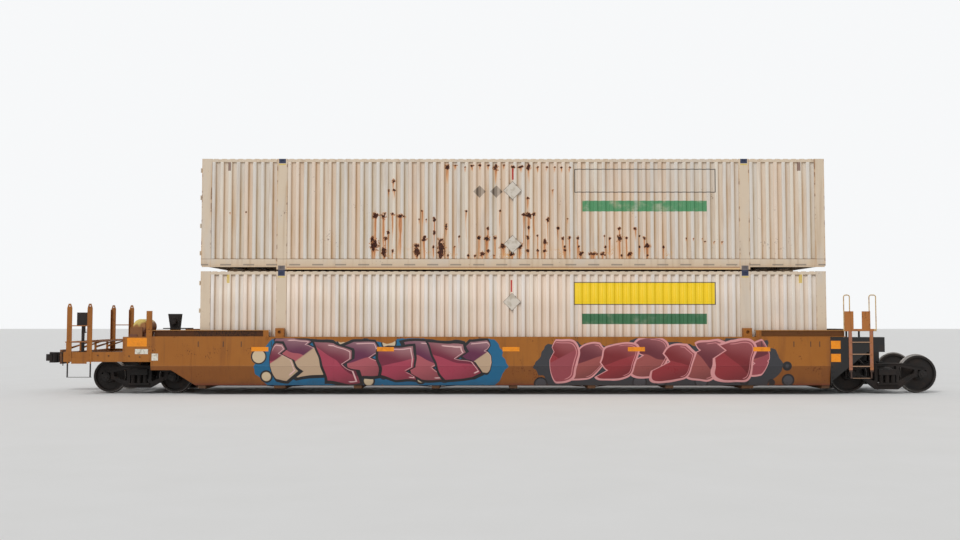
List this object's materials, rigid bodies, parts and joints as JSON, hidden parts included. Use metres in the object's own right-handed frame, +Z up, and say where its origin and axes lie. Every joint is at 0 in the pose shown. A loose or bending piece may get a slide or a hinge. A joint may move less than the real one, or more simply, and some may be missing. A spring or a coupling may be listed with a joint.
{
  "type": "articulated double-stack well car unit with two stacked 53 ft containers",
  "caption": "End unit of an articulated double-stack well car carrying stacked corrugated containers, with swivelling trucks, rolling wheelsets, a coupler and swinging container doors.",
  "frame": {"origin": "top of rail, on the centreline under the middle of the well", "axes": "+X towards the articulated end, -X towards the coupler, -Y the near side, +Z up"},
  "size_m": [23.7124, 3.062, 6.097],
  "materials": {
    "car_paint": "satin",
    "box_white": "satin",
    "box_upper": "satin",
    "end_grey": "satin",
    "truck_iron": "matte",
    "wheel_steel": "satin",
    "dark_metal": "satin"
  },
  "bodies": {
    "well_car": {"side_sill_far": "car_paint", "side_sill_near": "car_paint", "channel_coupler_far": "car_paint", "channel_coupler_near": "car_paint", "channel_joint_far": "car_paint", "channel_joint_near": "car_paint", "well_floor": "car_paint", "coupler_end_deck": "car_paint", "body_bolster": "car_paint", "stub_sill": "car_paint", "end_sill": "car_paint", "coupler_platform": "car_paint", "coupler_ladder_far": "car_paint", "coupler_ladder_near": "car_paint", "post_plate": "car_paint", "air_reservoir": "car_paint", "brake_valve": "dark_metal", "brake_cylinder": "dark_metal", "hand_brake": "dark_metal", "uncoupling_lever": "dark_metal", "brake_pipe": "dark_metal", "joint_frame": "end_grey", "articulated_connector": "end_grey", "joint_platform": "car_paint", "joint_ladder": "car_paint", "lower_frame": "box_white", "lower_side_far": "box_white", "lower_side_near": "box_white", "lower_roof": "box_white", "lower_floor": "box_white", "lower_front": "box_white", "upper_frame": "box_upper", "upper_side_far": "box_upper", "upper_side_near": "box_upper", "upper_roof": "box_upper", "upper_floor": "box_upper", "upper_front": "box_upper", "lower_door_far": "box_white", "lower_door_near": "box_white"},
    "coupler": {"coupler_head": "truck_iron"},
    "knuckle": {"knuckle": "truck_iron"},
    "upper_door_far": {"upper_door_far": "box_upper"},
    "upper_door_near": {"upper_door_near": "box_upper"},
    "end_truck": {"end_truck_sideframes": "truck_iron", "end_truck_springs": "truck_iron", "end_truck_bolster": "truck_iron", "end_truck_brake_beams": "truck_iron"},
    "end_truck_wheelset_left": {"end_truck_wheelset_left": "wheel_steel"},
    "end_truck_wheelset_right": {"end_truck_wheelset_right": "wheel_steel"},
    "joint_truck": {"joint_truck_sideframes": "truck_iron", "joint_truck_springs": "truck_iron", "joint_truck_bolster": "truck_iron", "joint_truck_brake_beams": "truck_iron"},
    "joint_truck_wheelset_left": {"joint_truck_wheelset_left": "wheel_steel"},
    "joint_truck_wheelset_right": {"joint_truck_wheelset_right": "wheel_steel"}
  },
  "joints": [
    {"name": "coupler_swing", "type": "hinge", "parent": "well_car", "child": "coupler", "pos_m": [-11.56, 0, 0.876], "axis": [0, 0, 1], "range_deg": [-7, 7]},
    {"name": "knuckle_open", "type": "hinge", "parent": "coupler", "child": "knuckle", "pos_m": [-12.395, -0.105, 0.876], "axis": [0, 0, 1], "range_deg": [0, 45]},
    {"name": "door_near_swing", "type": "hinge", "parent": "well_car", "child": "upper_door_near", "pos_m": [-8.1, -1.297, 4.6], "axis": [0, 0, 1], "range_deg": [0, 270]},
    {"name": "door_far_swing", "type": "hinge", "parent": "well_car", "child": "upper_door_far", "pos_m": [-8.1, 1.297, 4.6], "axis": [0, 0, -1], "range_deg": [0, 270]},
    {"name": "end_truck_swivel", "type": "hinge", "parent": "well_car", "child": "end_truck", "pos_m": [-9.7, 0, 0.668], "axis": [0, 0, 1], "range_deg": [-8, 8]},
    {"name": "end_truck_wheelset_left_roll", "type": "hinge", "parent": "end_truck", "child": "end_truck_wheelset_left", "pos_m": [-10.5635, 0, 0.419], "axis": [0, 1, 0], "continuous": true},
    {"name": "end_truck_wheelset_right_roll", "type": "hinge", "parent": "end_truck", "child": "end_truck_wheelset_right", "pos_m": [-8.8365, 0, 0.419], "axis": [0, 1, 0], "continuous": true},
    {"name": "joint_truck_swivel", "type": "hinge", "parent": "well_car", "child": "joint_truck", "pos_m": [9.7, 0, 0.668], "axis": [0, 0, 1], "range_deg": [-8, 8]},
    {"name": "joint_truck_wheelset_left_roll", "type": "hinge", "parent": "joint_truck", "child": "joint_truck_wheelset_left", "pos_m": [8.7855, 0, 0.483], "axis": [0, 1, 0], "continuous": true},
    {"name": "joint_truck_wheelset_right_roll", "type": "hinge", "parent": "joint_truck", "child": "joint_truck_wheelset_right", "pos_m": [10.6145, 0, 0.483], "axis": [0, 1, 0], "continuous": true}
  ]
}
